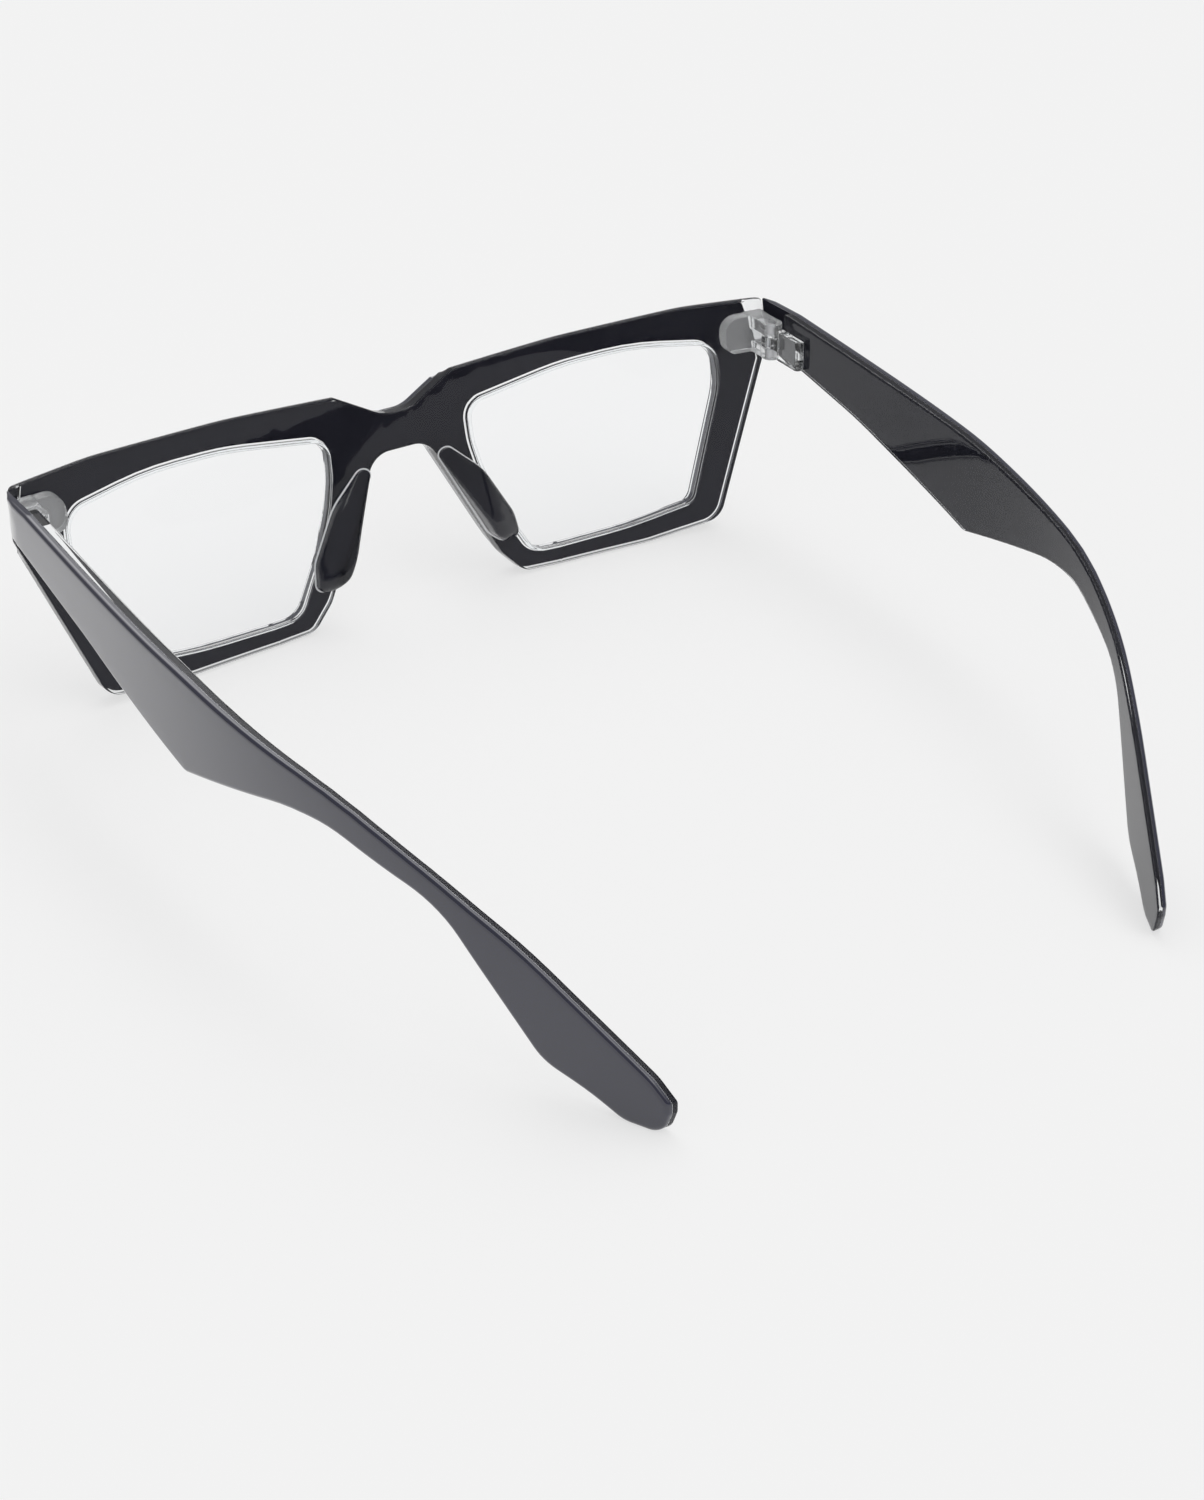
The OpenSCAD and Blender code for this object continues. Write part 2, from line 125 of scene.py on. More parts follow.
def fillet(a, p, b):
    """The arc that rounds corner p between the corners a and b."""
    ax, ay, bx, by = a[0] - p[0], a[1] - p[1], b[0] - p[0], b[1] - p[1]
    la, lb = math.hypot(ax, ay), math.hypot(bx, by)
    ux, uy, wx, wy = ax / la, ay / la, bx / lb, by / lb
    half = math.acos(max(-1, min(1, ux * wx + uy * wy))) / 2
    if p[2] < SMALLEST_FILLET or half > ALMOST_STRAIGHT:
        return [(p[0], p[1])]
    r = min(p[2], FILLET_ROOM * min(la, lb) * math.tan(half))
    sx, sy = ux + wx, uy + wy
    ls = math.hypot(sx, sy)
    cx = p[0] + sx / ls * r / math.sin(half)
    cy = p[1] + sy / ls * r / math.sin(half)
    a0 = math.atan2(p[1] + uy * r / math.tan(half) - cy, p[0] + ux * r / math.tan(half) - cx)
    a1 = math.atan2(p[1] + wy * r / math.tan(half) - cy, p[0] + wx * r / math.tan(half) - cx)
    sweep = (a1 - a0 + math.pi) % (2 * math.pi) - math.pi
    n = max(3, math.ceil(abs(math.degrees(sweep)) / ARC_DEGREES))
    return [(cx + r * math.cos(a0 + sweep * i / n), cy + r * math.sin(a0 + sweep * i / n))
            for i in range(n + 1)]


def rounded(corners):
    out = []
    for i in range(len(corners)):
        out += fillet(corners[i - 1], corners[i], corners[(i + 1) % len(corners)])
    return out


def area(loop):
    return sum(loop[i - 1][0] * loop[i][1] - loop[i][0] * loop[i - 1][1]
               for i in range(len(loop))) / 2


def turned(loop, ccw):
    return loop if (area(loop) > 0) == ccw else loop[::-1]


def finer(loop, step):
    """The loop with no stretch between two points longer than step."""
    out = []
    for i in range(len(loop)):
        (x0, y0), (x1, y1) = loop[i], loop[(i + 1) % len(loop)]
        n = max(1, math.ceil(math.hypot(x1 - x0, y1 - y0) / step))
        out += [(x0 + (x1 - x0) * k / n, y0 + (y1 - y0) * k / n) for k in range(n)]
    return out


def with_cuts(loop, cuts):
    """The loop with a point wherever it crosses one of the x values in cuts."""
    out = []
    for i in range(len(loop)):
        (x0, y0), (x1, y1) = loop[i], loop[(i + 1) % len(loop)]
        out.append((x0, y0))
        hits = sorted((c - x0) / (x1 - x0) for c in cuts if (c - x0) * (x1 - c) > TINY)
        out += [(x0 + (x1 - x0) * k, y0 + (y1 - y0) * k) for k in hits]
    return out


def moved(loop, d):
    """The loop with its wall moved d into the material on its left."""
    if abs(d) < TINY:
        return list(loop)
    out = []
    for i in range(len(loop)):
        a, p, b = loop[i - 1], loop[i], loop[(i + 1) % len(loop)]
        l1 = math.hypot(p[0] - a[0], p[1] - a[1])
        l2 = math.hypot(b[0] - p[0], b[1] - p[1])
        n1 = (-(p[1] - a[1]) / l1, (p[0] - a[0]) / l1)
        n2 = (-(b[1] - p[1]) / l2, (b[0] - p[0]) / l2)
        k = 1 + n1[0] * n2[0] + n1[1] * n2[1]
        out.append((p[0] + (n1[0] + n2[0]) / k * d, p[1] + (n1[1] + n2[1]) / k * d))
    return out


def between(x, points):
    """The height at x of the line through the points, level after the last one."""
    for (x0, y0), (x1, y1) in zip(points, points[1:]):
        if x <= x1:
            return y0 + (y1 - y0) * (x - x0) / (x1 - x0)
    return points[-1][1]


def inside(pt, loop):
    x, y = pt
    hit = False
    for i in range(len(loop)):
        (x0, y0), (x1, y1) = loop[i - 1], loop[i]
        if (y0 > y) != (y1 > y) and x < (x1 - x0) * (y - y0) / (y1 - y0) + x0:
            hit = not hit
    return hit


def far_from(pt, loops, room):
    for loop in loops:
        for i in range(len(loop)):
            (x0, y0), (x1, y1) = loop[i - 1], loop[i]
            dx, dy = x1 - x0, y1 - y0
            along = ((pt[0] - x0) * dx + (pt[1] - y0) * dy) / (dx * dx + dy * dy + NOT_ZERO)
            s = max(0, min(1, along))
            if math.hypot(pt[0] - x0 - s * dx, pt[1] - y0 - s * dy) < room:
                return False
    return True


# Meshes: rings of points round an outline and its openings, closed by a face at each end.
def round_edge(r, t, way, n=EDGE_STEPS):
    """Rings (moved, depth) that round an edge whose face lies at depth t.
    way is 1 where the material lies at greater depths, -1 where it lies at smaller ones."""
    rings = []
    for i in range(n + 1):
        angle = math.pi / 2 * i / n
        rings.append((r * (1 - math.sin(angle)), t + way * r * (1 - math.cos(angle))))
    return rings if way > 0 else rings[::-1]


def covered(pts, edges, outlines):
    """Triangles between the outline and its openings. A thin one follows its neighbour."""
    flat = [Vector(p) for p in pts]
    _, _, faces, orig, _, _ = delaunay_2d_cdt(flat, edges, [], 0, SAME_POINT)
    first = {i: own[0] for own in orig for i in own}
    border = {frozenset((first[a], first[b])) for a, b in edges}
    tris = [[orig[i][0] for i in f] for f in faces]
    beside = {}
    keep = {}
    for k, (a, b, c) in enumerate(tris):
        for e in ((a, b), (b, c), (c, a)):
            beside.setdefault(frozenset(e), []).append(k)
        (x0, y0), (x1, y1), (x2, y2) = pts[a], pts[b], pts[c]
        twice = abs((x1 - x0) * (y2 - y0) - (x2 - x0) * (y1 - y0))
        sides = (math.dist(pts[a], pts[b]), math.dist(pts[b], pts[c]), math.dist(pts[c], pts[a]))
        if twice > THIN_TRIANGLE * max(sides):
            mid = ((x0 + x1 + x2) / 3, (y0 + y1 + y2) / 3)
            keep[k] = inside(mid, outlines[0]) and not any(inside(mid, h) for h in outlines[1:])
    for _ in range(NEIGHBOUR_ROUNDS):
        for k, (a, b, c) in enumerate(tris):
            if k not in keep:
                near = [keep[j] for e in ((a, b), (b, c), (c, a)) if frozenset(e) not in border
                        for j in beside[frozenset(e)] if j in keep]
                if near:
                    keep[k] = near[0]
    return [tri for k, tri in enumerate(tris) if keep.get(k)]


def ring_rows(bm, loop, rings, place, limit=None):
    """One row of (vertex, flat point) for each ring (moved, depth) along the loop."""
    rows = []
    for d, t in rings:
        pts = moved(loop, d)
        if limit:
            pts = [limit(u, v, t) for u, v in pts]
        rows.append([(bm.verts.new(place(u, v, t)), (u, v)) for u, v in pts])
    return rows


def wall(bm, a, b):
    """The faces between two rows."""
    return [bm.faces.new([a[i - 1][0], a[i][0], b[i][0], b[i - 1][0]]) for i in range(len(a))]


def close_end(bm, rows, grid, room, place, t):
    """The faces at depth t between the outline rows[0] and its openings. The points of the
    grid are used where they lie inside, at least room from every edge."""
    outlines = [[flat for _, flat in row] for row in rows]
    pts = [flat for line in outlines for flat in line]
    own = [vert for row in rows for vert, _ in row]
    edges = []
    base = 0
    for line in outlines:
        edges += [(base + i, base + (i + 1) % len(line)) for i in range(len(line))]
        base += len(line)
    for p in grid:
        if (inside(p, outlines[0]) and not any(inside(p, h) for h in outlines[1:])
                and far_from(p, outlines, room)):
            pts.append(p)
            own.append(bm.verts.new(place(p[0], p[1], t)))
    return [bm.faces.new([own[i] for i in tri]) for tri in covered(pts, edges, outlines)]


def placed(data, name):
    obj = bpy.data.objects.new(name, data)
    bpy.context.scene.collection.objects.link(obj)
    return obj


def weigh(obj, sharp=40):
    obj.data.set_sharp_from_angle(angle=math.radians(sharp))
    even = obj.modifiers.new("even normals", "WEIGHTED_NORMAL")
    even.weight = 50
    even.keep_sharp = True


def smooth_object(bm, name):
    bmesh.ops.recalc_face_normals(bm, faces=bm.faces)
    for f in bm.faces:
        f.smooth = True
    mesh = bpy.data.meshes.new(name)
    bm.to_mesh(mesh)
    bm.free()
    obj = placed(mesh, name)
    weigh(obj)
    return obj


def mirrored(obj, name):
    mesh = obj.data.copy()
    mesh.transform(Matrix.Scale(-1, 4, (1, 0, 0)))
    mesh.flip_normals()
    other = placed(mesh, name)
    weigh(other)
    return other


def grid_over(rows, step):
    """Points in the middle of the squares that cover the rows."""
    pts = [flat for row in rows for _, flat in row]
    lo = (min(p[0] for p in pts), min(p[1] for p in pts))
    hi = (max(p[0] for p in pts), max(p[1] for p in pts))
    return [(lo[0] + (i + 0.5) * step, lo[1] + (j + 0.5) * step)
            for i in range(int((hi[0] - lo[0]) / step) + 1)
            for j in range(int((hi[1] - lo[1]) / step) + 1)]


def slab(name, loops, rings, limit, place, step, inner_face=None):
    """A plate between two faces: loops[0] is its outline and the others are openings.
    rings[i] lists (moved, depth) for the walls of loop i. limit trims a point to the
    stock, place puts it in space. inner_face is the end (0 or -1) that is bonded."""
    bm = bmesh.new()
    walls = [ring_rows(bm, loop, ring, place, limit) for loop, ring in zip(loops, rings)]
    for rows in walls:
        for a, b in zip(rows, rows[1:]):
            wall(bm, a, b)
    for end in (0, -1):
        rows = [of_loop[end] for of_loop in walls]
        t = rings[0][end][1]
        for face in close_end(bm, rows, grid_over(rows, step), step * FACE_ROOM, place, t):
            face.material_index = BONDED if inner_face == end else BODY
    bmesh.ops.remove_doubles(bm, verts=bm.verts, dist=WELD)
    bmesh.ops.dissolve_degenerate(bm, dist=COLLAPSED, edges=bm.edges)
    return smooth_object(bm, name)


# The front.
BROW = 41.2
NOTCH_X, NOTCH_H = 11.2, 39.2
SADDLE_H = NOTCH_H - 4.9
ARCH_X, ARCH_H = 5.1, SADDLE_H - 6.5
END_X, END_H = HALF_WIDTH - 1, BROW - 0.7
FOOT_X = ARCH_X + 15.5
REST_X = FOOT_X + 7
brow_line = [(NOTCH_X, NOTCH_H), (NOTCH_X + 20, NOTCH_H + 1.3), (HALF_WIDTH - 16.5, BROW),
             (END_X, END_H)]
front_half = [
    (NOTCH_X - 8.6, SADDLE_H, 6), (NOTCH_X, NOTCH_H, 0.8), (NOTCH_X + 20, NOTCH_H + 1.3, 120),
    (HALF_WIDTH - 16.5, BROW, 60), (END_X, END_H, 1.2), (END_X, END_H - 8.2, 4),
    (END_X - 11.7, 1.4, 4.2), (REST_X + REST_SPAN, 0, 30), (REST_X, 0, 20), (FOOT_X, 0.3, 3.5),
    (FOOT_X - 3.9, 4.5, 6), (ARCH_X, ARCH_H, 4.5),
]
opening = [
    (12.8, 32.9, 6), (32, 36, 60), (46.5, 36.5, 60), (62.2, 34.2, 6), (62.6, 26.2, 15),
    (55.5, 5, 3), (42, 3, 80), (28, 2.6, 20), (22.4, 2.8, 5), (17.4, 12, 30),
    (14.2, 20.3, 20), (13, 25.6, 15),
]

# The bevel starts at a step in x, so the outline has a point on each side of that step.
BEVEL_STEP = 0.01
bevel_cuts = [side * BEVEL_X + way * BEVEL_STEP for side in (-1, 1) for way in (-1, 1)]

# Along the nose arch the black edge isn't set back. Below it the setback grows.
ARCH_REACH = 19
ARCH_TOP = SADDLE_H - 3
ARCH_FADE_TOP, ARCH_FADE = 8, 3

BLACK_FRONT_DEPTHS = (CLEAR_FRONT - SUNK, CLEAR_FRONT, 3.0, 3.5)
CLEAR_FRONT_DEPTHS = (0.8, 1.2, 1.8, 2.2, CLEAR_FRONT)


def levelled(corners):
    return [(x, h - rise(x), r) for x, h, r in corners]


front_corners = levelled(front_half + [(-x, h, r) for x, h, r in front_half[::-1]])
outline = turned(finer(with_cuts(rounded(front_corners), bevel_cuts), OUTLINE_STEP), True)
hole = turned(finer(rounded(levelled(opening)), OUTLINE_STEP), False)
hole_other = turned([(-x, h) for x, h in hole], False)


def wrapped(x, t):
    """How far towards the temples the surface at depth t lies at x, before the lean."""
    return WRAP - math.sqrt((WRAP + t) ** 2 - x * x)


def leaned_y(yl, h):
    return yl * math.cos(LEAN) - h * math.sin(LEAN)


def leaned(x, yl, h):
    """The place in space of a point of the upright front."""
    return Vector((x, leaned_y(yl, h) - MID_Y, yl * math.sin(LEAN) + h * math.cos(LEAN) + LIFT)) * MM


def corner_x(y):
    """The outer corners, rounded as seen from above."""
    return HALF_WIDTH - CORNER_R + math.sqrt(max(0, CORNER_R ** 2 - (y - CORNER_Y) ** 2))


def front_limit(x, h, t, within=0.0):
    if abs(x) >= BEVEL_X and t > BEVEL_START:
        brow = between(max(abs(x), NOTCH_X), brow_line)
        h = min(h, brow - rise(x) - (t - BEVEL_START) * BEVEL_SLOPE - within)
    for _ in range(3):
        y = leaned_y(wrapped(x, t), h)
        if y < CORNER_Y:
            x = math.copysign(min(abs(x), corner_x(y) - within), x)
    return x, h


def black_limit(x, h, t):
    return front_limit(x, h, t, SUNK_INSET if t < CLEAR_FRONT else 0.0)


def front_place(x, h, t):
    return leaned(x, wrapped(x, t), h)


def setback(x, h):
    """How far the black edge stays inside the clear one at that point of the outline."""
    if abs(x) > ARCH_REACH or h > ARCH_TOP:
        return SETBACK
    return SETBACK * max(0, min(1, (ARCH_FADE_TOP - h) / ARCH_FADE))


def front_black():
    rings = [(0, t) for t in BLACK_FRONT_DEPTHS] + round_edge(BLACK_FRONT_EDGE, FRONT, -1)
    edge = []
    for own, far in zip(outline, moved(outline, SETBACK)):
        k = setback(*own) / SETBACK
        edge.append((own[0] + (far[0] - own[0]) * k, own[1] + (far[1] - own[1]) * k))
    return slab("black_front", [edge, hole, hole_other], [rings, rings, rings],
                black_limit, front_place, FRONT_STEP, inner_face=0)


def front_clear():
    edge = round_edge(CLEAR_FRONT_EDGE, 0, 1)
    outer = edge + [(0, t) for t in CLEAR_FRONT_DEPTHS]
    inner = [(d - LIP, t) for d, t in edge]
    inner += [(-LIP, GROOVE_NEAR), (GROOVE_DEPTH - LIP, GROOVE_NEAR)]
    inner += [(GROOVE_DEPTH - LIP, GROOVE_FAR), (-LIP, GROOVE_FAR)]
    inner += [(d - LIP, t) for d, t in round_edge(LIP_EDGE, CLEAR_FRONT, -1, LIP_EDGE_STEPS)]
    return slab("clear_front", [outline, hole, hole_other], [outer, inner, inner],
                front_limit, front_place, FRONT_STEP)


# The temples.
TOP = END_H * math.cos(LEAN) + LIFT + 0.8
temple_corners = [
    (-8, TOP - 0.9, 0), (9, TOP - 0.42, 12), (61, TOP - 2.9, 150), (97, TOP - 6.8, 60),
    (112, TOP - 12.7, 60), (124, TOP - 19.6, 60), (141.5, 8.2, 8), (144, 5.2, 1), (144, 3.6, 1.6),
    (143, 0, 2.2), (138, 0, 4), (133.5, 2.6, 30), (127, 5.1, 7), (112.8, TOP - 16.7, 14),
    (95, TOP - 11.8, 20), (86.5, TOP - 12.4, 40), (61, TOP - 19.3, 3), (30, TOP - 11.9, 100),
    (2, TOP - 7.4, 0), (-8, TOP - 5.7, 0),
]
temple_outline = turned(finer(rounded(temple_corners), OUTLINE_STEP), True)

CURVE_START, CURVE_END = 14.0, 119.0
INWARD, POWER = 16.75, 3.3
THIN_FROM, THIN_LENGTH = 30, 80
TIP_LOSS = 0.43
CLEAR_START = 7.6
BLACK_TEMPLE_DEPTHS = (0.9, BLACK_TEMPLE)
CLEAR_TEMPLE_DEPTHS = (BLACK_TEMPLE + GLUE_LINE, 1.8, 2.3)


def curve_part(y):
    return max(0, min(1, (y - CURVE_START) / (CURVE_END - CURVE_START)))


def slope(y):
    return INWARD * POWER / (CURVE_END - CURVE_START) * curve_part(y) ** (POWER - 1)


def shift(y):
    """How far the outer face has come inward at y."""
    return INWARD * curve_part(y) ** POWER + max(0, y - CURVE_END) * slope(y)


def share(y):
    """What is left of the thickness at y."""
    part = max(0, min(1, (y - THIN_FROM) / THIN_LENGTH))
    return 1 - TIP_LOSS * part * part * (3 - 2 * part)


def temple_x(y, t):
    u = y
    for _ in range(5):
        u = y + t * share(u) * math.sin(math.atan(slope(u)))
    return HALF_WIDTH - shift(u) - t * share(u) * math.cos(math.atan(slope(u)))


def butt_y(x, z, gap):
    """Where the back of the front stands at that x and height, plus a gap."""
    yl = wrapped(x, -gap)
    return leaned_y(yl, (z - LIFT - yl * math.sin(LEAN)) / math.cos(LEAN))


def outer_limit(y, z, t):
    return max(y, butt_y(temple_x(y, t), z, BUTT_GAP)), z


def inner_limit(y, z, t):
    return max(y, CLEAR_START), z


def temple_place(y, z, t):
    x = temple_x(y, t)
    if y < CORNER_Y:
        x = min(x, corner_x(y))
    return Vector((x, y - MID_Y, z)) * MM


def temple_black():
    rings = round_edge(BLACK_TEMPLE_EDGE, 0, 1) + [(0, t) for t in BLACK_TEMPLE_DEPTHS]
    rings += [(SUNK_INSET, BLACK_TEMPLE + t) for t in (SUNK_TEMPLE_FROM, SUNK_TEMPLE_TO)]
    return slab("black_temple_left", [temple_outline], [rings], outer_limit, temple_place,
                TEMPLE_STEP, inner_face=-1)


def temple_clear():
    rings = [(0, t) for t in CLEAR_TEMPLE_DEPTHS]
    rings += round_edge(CLEAR_TEMPLE_EDGE, BLACK_TEMPLE + CLEAR_TEMPLE, -1)
    return slab("clear_temple_left", [temple_outline], [rings], inner_limit, temple_place,
                TEMPLE_STEP)


# The nose pads. v runs across a pad, u along it, and part from its foot (0) to its top (1).
PAD_X, PAD_H = 13.7, ARCH_H - 11.2
PAD_SPLAY = math.radians(26)
PAD_TURN = math.asin(PAD_X / WRAP)
PAD_GAP = 0.03
PAD_END = 11
PAD_THINNEST = 0.2
PAD_SMOOTHING = (-1.6, -0.8, 0, 0.8, 1.6)
PAD_OUTLINE_STEP, PAD_STEP, PAD_ROOM = 0.5, 0.6, 0.25
PAD_COLUMNS, PAD_ROWS = 5, 18
pad_leaf = [(-2.8, PAD_END, 1), (-0.56, PAD_END, 2), (2.35, 3.5, 10), (2.8, -6.6, 5),
            (1.12, -PAD_END, 2.4), (-1.4, -10.1, 3), (-2.8, -7, 5)]
pad_along = [(-PAD_END, 0.25), (-8.8, 3.7), (-4, 4.6), (PAD_END, 0.25)]
pad_across = [(-5.6, 6.8), (-2.35, 4.9), (2.8, 1.4)]
# The first ring flares the pad's foot. The band from it to the next ring is pale, a painted
# highlight.
pad_rim_foot = (-0.28, 0)
pad_rings = [pad_rim_foot, (-0.02, 0.1), (0, 0.4), (0, 0.72), (0.06, 0.84), (0.2, 0.92),
             (0.42, 0.97), (0.7, 1)]


def pad_top(v, u):
    """The lower of two roofs, one along the pad and one across it, blended where they meet."""
    near = [between(max(-PAD_END, min(PAD_END, u + k)), pad_along) for k in PAD_SMOOTHING]
    along = sum(near) / len(PAD_SMOOTHING)
    across = between(v, pad_across)
    blend = max(0, 1 - abs(along - across)) ** 2 / 4
    return min(along, across) - blend


def pad_place(v, u, part):
    """The point of the pad over (v, u), that part of the way from the front to its top."""
    outward = v * math.cos(PAD_SPLAY) - u * math.sin(PAD_SPLAY)
    h = PAD_H + v * math.sin(PAD_SPLAY) + u * math.cos(PAD_SPLAY)
    x = PAD_X + outward * math.cos(PAD_TURN)
    foot = wrapped(x, -PAD_GAP)
    top = PAD_X * PAD_X / 2 / WRAP + outward * math.sin(PAD_TURN) + pad_top(v, u)
    return leaned(x, foot + (max(top, foot + PAD_THINNEST) - foot) * part, h)


def pad():
    leaf = turned(finer(rounded(pad_leaf), PAD_OUTLINE_STEP), True)
    grid = [(i * PAD_STEP, j * PAD_STEP) for i in range(-PAD_COLUMNS, PAD_COLUMNS + 1)
            for j in range(-PAD_ROWS, PAD_ROWS + 1)]
    bm = bmesh.new()
    rows = ring_rows(bm, leaf, pad_rings, pad_place)
    for a, b in zip(rows, rows[1:]):
        for face in wall(bm, a, b):
            # The band at the pad's foot gets the pale ring, a painted highlight round the pad's
            # edge.
            face.material_index = PAINTED_RIM if a is rows[0] else BODY
    for row, part, slot in ((rows[0], 0, BONDED), (rows[-1], 1, BODY)):
        for face in close_end(bm, [row], grid, PAD_ROOM, pad_place, part):
            face.material_index = slot
    return smooth_object(bm, "pad_left")


# The hinge blocks: the solid's own form with its edges melted.
VOXEL = 0.14
MELTING_ROUNDS = 3


def moulded(node_name, name):
    obj = placed(nodes[node_name].data.copy(), name)
    obj.data.materials.clear()
    remesh = obj.modifiers.new("remesh", "REMESH")
    remesh.mode = "VOXEL"
    remesh.voxel_size = VOXEL * MM
    remesh.use_smooth_shade = True
    soften = obj.modifiers.new("soften", "SMOOTH")
    soften.factor = 0.5
    soften.iterations = MELTING_ROUNDS
    deps = bpy.context.evaluated_depsgraph_get()
    baked = bpy.data.meshes.new_from_object(obj.evaluated_get(deps))
    obj.modifiers.clear()
    obj.data = baked
    return obj


black_front = front_black()
clear_front = front_clear()
black_temple_left = temple_black()
black_temples = [black_temple_left, mirrored(black_temple_left, "black_temple_right")]
clear_temple_left = temple_clear()
clear_temples = [clear_temple_left, mirrored(clear_temple_left, "clear_temple_right")]
pad_left = pad()
pads = [pad_left, mirrored(pad_left, "pad_right")]
SIDES = ("left", "right")
front_blocks = [moulded(f"front_hinge_block_{side}", f"front_knuckles_{side}") for side in SIDES]
temple_blocks = [moulded(f"temple_hinge_block_{side}", f"temple_knuckle_{side}") for side in SIDES]


# Materials.
def node(tree, kind, inputs, operation=None):
    """A new node. Each input is a value or the output of another node."""
    made = tree.nodes.new("ShaderNode" + kind)
    if operation:
        made.operation = operation
    for key, given in inputs.items():
        if isinstance(given, bpy.types.NodeSocket):
            tree.links.new(given, made.inputs[key])
        else:
            made.inputs[key].default_value = given
    return made


def material(name, colour, **sockets):
    """A Principled material. A socket's name is written with _ for each space."""
    mat = bpy.data.materials.new(name)
    mat.use_nodes = True
    shader = mat.node_tree.nodes["Principled BSDF"]
    shader.inputs["Base Color"].default_value = (*colour, 1)
    for socket, value in sockets.items():
        shader.inputs[socket.replace("_", " ")].default_value = value
    return mat


def uneven(mat, scale, depth, strength, roughness=None):
    """Bends the surface with fine noise, which also runs between the two roughness values."""
    tree = mat.node_tree
    shader = tree.nodes["Principled BSDF"]
    place = node(tree, "TexCoord", {}).outputs["Object"]
    noise = node(tree, "TexNoise", {"Vector": place, "Scale": scale, "Detail": 3}).outputs["Fac"]
    bump = node(tree, "Bump", {"Height": noise, "Strength": strength, "Distance": depth})
    tree.links.new(bump.outputs["Normal"], shader.inputs["Normal"])
    if roughness:
        low, high = roughness
        ramp = node(tree, "MapRange", {"Value": noise, "To Min": low, "To Max": high})
        tree.links.new(ramp.outputs["Result"], shader.inputs["Roughness"])
    return mat


black = uneven(
    material("black_acetate", (0.011, 0.012, 0.035), IOR=1.5, Coat_Weight=1, Coat_IOR=1.5),
    scale=90, depth=0.0002, strength=0.05, roughness=(0.05, 0.1))

bond = uneven(
    material("bonded_face", (0.026, 0.026, 0.036), Roughness=0.6, Specular_IOR_Level=0),
    scale=90, depth=0.0001, strength=0.05)

clear = uneven(
    material("clear_acetate", (0.97, 0.98, 0.985), IOR=1.49, Transmission_Weight=1,
             Specular_Tint=(0.6, 0.6, 0.62, 1)),
    scale=70, depth=0.0002, strength=0.04, roughness=(0.01, 0.03))

moulding = uneven(
    material("clear_moulding", (0.96, 0.975, 0.98), IOR=1.49, Transmission_Weight=1),
    scale=160, depth=0.0002, strength=0.08, roughness=(0.03, 0.09))

# A pale grey matt ring round each pad's foot, a painted highlight that stands for the bright edge
# light of the clear pad.
painted_rim = uneven(
    material("painted_highlight_rim", (0.72, 0.73, 0.75), Roughness=0.4),
    scale=400, depth=0.0001, strength=0.1)

# A fifth of white diffuse colour lightens the clear front knuckles, a painted highlight. Their
# roughness and bumps are the moulding's own.
knuckle_painted_light = uneven(
    material("knuckle_moulding_painted_light", (0.93, 0.94, 0.95), IOR=1.49, Transmission_Weight=0.8),
    scale=300, depth=0.0003, strength=0.15, roughness=(0.05, 0.16))

lens = uneven(
    material("clear_lens", (0.99, 0.995, 1), IOR=1.13, Transmission_Weight=1),
    scale=20, depth=0.0001, strength=0.01, roughness=(0.0, 0.01))

steel = uneven(
    material("steel_pin", (0.6, 0.6, 0.62), Metallic=1),
    scale=900, depth=0.0001, strength=0.2, roughness=(0.2, 0.4))


def dress(obj, *mats):
    obj.data.materials.clear()
    for m in mats:
        obj.data.materials.append(m)


def dress_kept(obj, *mats):
    """Dresses a mesh whose faces already know their slots."""
    index = [p.material_index for p in obj.data.polygons]
    dress(obj, *mats)
    obj.data.polygons.foreach_set("material_index", index)


def show(obj, body, slot, *stands_for):
    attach(obj, body)
    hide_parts(*stands_for)


for o in (black_front, *black_temples):
    dress_kept(o, black, bond)
for o in (clear_front, *clear_temples):
    dress(o, clear)
for o in pads:
    dress_kept(o, moulding, bond, painted_rim)
# The front knuckles get the moulding with the painted highlight.
for o in front_blocks:
    dress(o, knuckle_painted_light)
for o in temple_blocks:
    dress(o, moulding)
show(black_front, "front", "black_acetate", "front_black_layer")
show(clear_front, "front", "clear_acetate", "front_clear_layer")
for i, side in enumerate(SIDES):
    show(black_temples[i], f"temple_{side}", "black_acetate", f"temple_outer_{side}")
    show(clear_temples[i], f"temple_{side}", "clear_acetate", f"temple_inner_{side}")
    show(pads[i], "front", "clear_pad", f"nose_pad_{side}")
    show(front_blocks[i], "front", "clear_hinge", f"front_hinge_block_{side}")
    show(temple_blocks[i], f"temple_{side}", "clear_hinge", f"temple_hinge_block_{side}")
    for node_name, mat in ((f"lens_{side}", lens), (f"hinge_pin_{side}", steel)):
        for material_slot in nodes[node_name].material_slots:
            material_slot.material = mat


# The floor, in metres. Rays that see it find mostly its own even glow, so it is as pale as
# the photograph's background and still keeps the shadow.
FLOOR_RADIUS = 6
FLOOR_DROP = 0.00002
PAPER = 0.95
GLOW = 0.91
GLOW_SHARE = 0.7


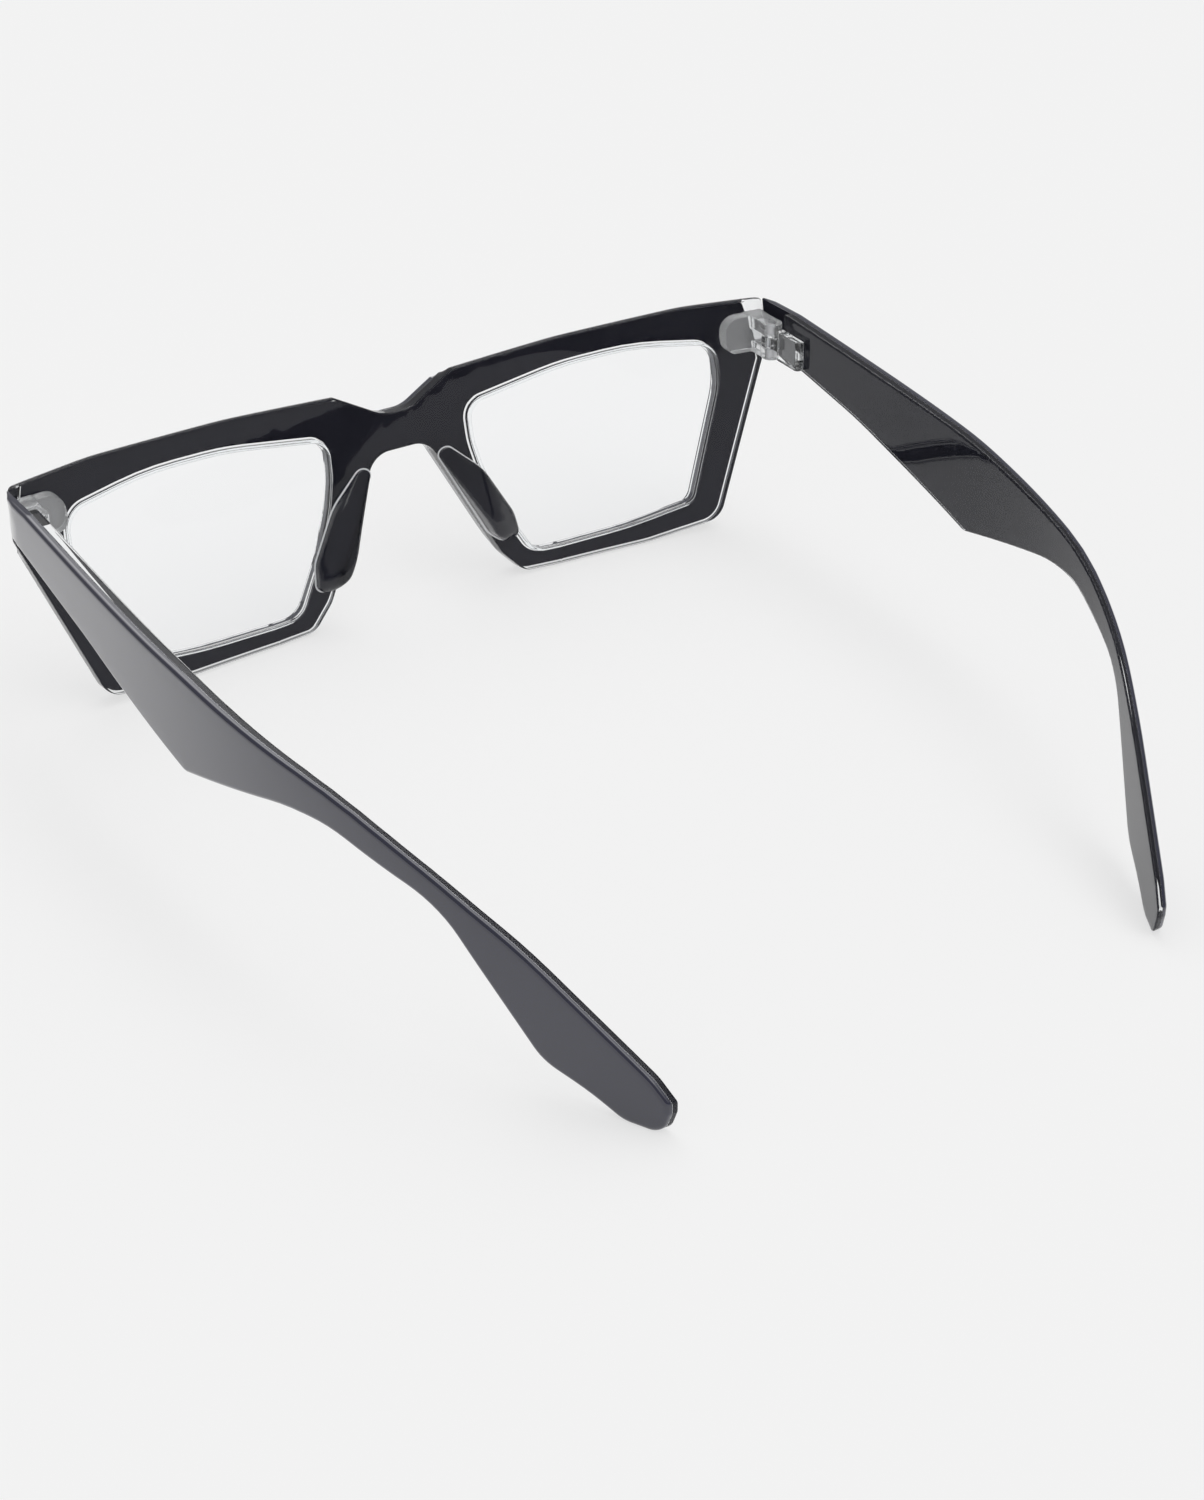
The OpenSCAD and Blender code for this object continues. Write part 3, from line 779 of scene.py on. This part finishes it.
def paper_floor():
    paper = material("paper", (PAPER, PAPER, PAPER), Roughness=0.9, Specular_IOR_Level=0)
    tree = paper.node_tree
    shader = tree.nodes["Principled BSDF"]
    glow = node(tree, "Emission", {"Color": (GLOW, GLOW, GLOW, 1)})
    ray = node(tree, "LightPath", {}).outputs
    seen = node(tree, "Math", {0: ray["Is Camera Ray"], 1: ray["Is Glossy Ray"]}, "MAXIMUM")
    seen_or_through = node(
        tree, "Math", {0: seen.outputs["Value"], 1: ray["Is Transmission Ray"]}, "MAXIMUM")
    part = node(tree, "Math", {0: seen_or_through.outputs["Value"], 1: GLOW_SHARE}, "MULTIPLY")
    blend = node(tree, "MixShader", {"Fac": part.outputs["Value"], 1: shader.outputs["BSDF"],
                                     2: glow.outputs["Emission"]})
    tree.links.new(blend.outputs["Shader"], tree.nodes["Material Output"].inputs["Surface"])
    mesh = bpy.data.meshes.new("floor")
    bm = bmesh.new()
    bmesh.ops.create_circle(bm, cap_ends=True, segments=96, radius=FLOOR_RADIUS)
    bm.to_mesh(mesh)
    bm.free()
    mesh.materials.append(paper)
    floor = placed(mesh, "floor")
    floor.location = (0, 0, cad_box[0][2] - FLOOR_DROP)


# The light is the sky alone. It is a little brighter high up, and a wide, soft strip runs
# overhead from front to back, tilted towards the wearer's right, which draws the lines
# along the temples. Camera and transmission rays find the tone of the floor there instead.
SKY_FROM, SKY_TO = 0.4, 0.85
SKY_LOW, SKY_HIGH = 0.36, 0.4
STRIP_ACROSS = (0.97, 0, 0.24)
STRIP_OUTSIDE, STRIP_CORE = 0.42, 0.04
STRIP_END_LOW, STRIP_END_HIGH = 0.45, 0.6
STRIP_STRENGTH = 2.16
BACKDROP = 0.88


def sky():
    world = bpy.data.worlds.new("studio")
    bpy.context.scene.world = world
    world.use_nodes = True
    tree = world.node_tree
    tree.nodes.clear()
    way = node(tree, "TexCoord", {}).outputs["Generated"]
    height = node(tree, "SeparateXYZ", {"Vector": way}).outputs["Z"]
    plain = node(tree, "MapRange", {"Value": height, "From Min": SKY_FROM, "From Max": SKY_TO,
                                    "To Min": SKY_LOW, "To Max": SKY_HIGH})
    across = node(tree, "VectorMath", {0: way, 1: STRIP_ACROSS}, "DOT_PRODUCT")
    aside = node(tree, "Math", {0: across.outputs["Value"]}, "ABSOLUTE")
    width = node(tree, "MapRange", {"Value": aside.outputs["Value"], "From Min": STRIP_OUTSIDE,
                                    "From Max": STRIP_CORE})
    length = node(tree, "MapRange", {"Value": height, "From Min": STRIP_END_LOW,
                                     "From Max": STRIP_END_HIGH, "To Max": STRIP_STRENGTH})
    light = node(tree, "Math", {0: width.outputs["Result"], 1: length.outputs["Result"],
                                2: plain.outputs["Result"]}, "MULTIPLY_ADD")
    ray = node(tree, "LightPath", {}).outputs
    seen = node(tree, "Math", {0: ray["Is Camera Ray"], 1: ray["Is Transmission Ray"]}, "MAXIMUM")
    tone = node(tree, "Mix", {"Factor": seen.outputs["Value"], "A": light.outputs["Value"],
                              "B": BACKDROP})
    back = node(tree, "Background", {"Color": (1, 1, 1, 1), "Strength": tone.outputs["Result"]})
    node(tree, "OutputWorld", {"Surface": back.outputs["Background"]})


# The camera as it was fitted to the photograph, with its place in millimetres.
AZIMUTH, ELEVATION, ROLL = math.radians(148.394), math.radians(31.690), math.radians(-0.322)
CAMERA_PLACE = (204.739, 391.898 - MID_Y, 242.387)
FOCAL_PIXELS = 2900.84
PICTURE_HEIGHT = 1500
SENSOR = 36
NEAREST, FARTHEST = 0.01, 50


def camera():
    backward = Vector((math.sin(AZIMUTH) * math.cos(ELEVATION),
                       -math.cos(AZIMUTH) * math.cos(ELEVATION), math.sin(ELEVATION)))
    level_right = Vector((math.cos(AZIMUTH), math.sin(AZIMUTH), 0))
    level_up = backward.cross(level_right)
    right = math.cos(ROLL) * level_right + math.sin(ROLL) * level_up
    up = -math.sin(ROLL) * level_right + math.cos(ROLL) * level_up
    data = bpy.data.cameras.new("camera")
    data.sensor_fit = "VERTICAL"
    data.sensor_height = SENSOR
    data.sensor_width = SENSOR
    data.lens = FOCAL_PIXELS / PICTURE_HEIGHT * SENSOR
    data.clip_start = NEAREST
    data.clip_end = FARTHEST
    stand = Matrix((right, up, backward)).transposed().to_4x4()
    stand.translation = Vector(CAMERA_PLACE) * MM
    cam = placed(data, "camera")
    cam.matrix_world = stand
    return cam


paper_floor()
sky()
bpy.context.scene.camera = camera()
bpy.context.scene.view_settings.view_transform = "Standard"
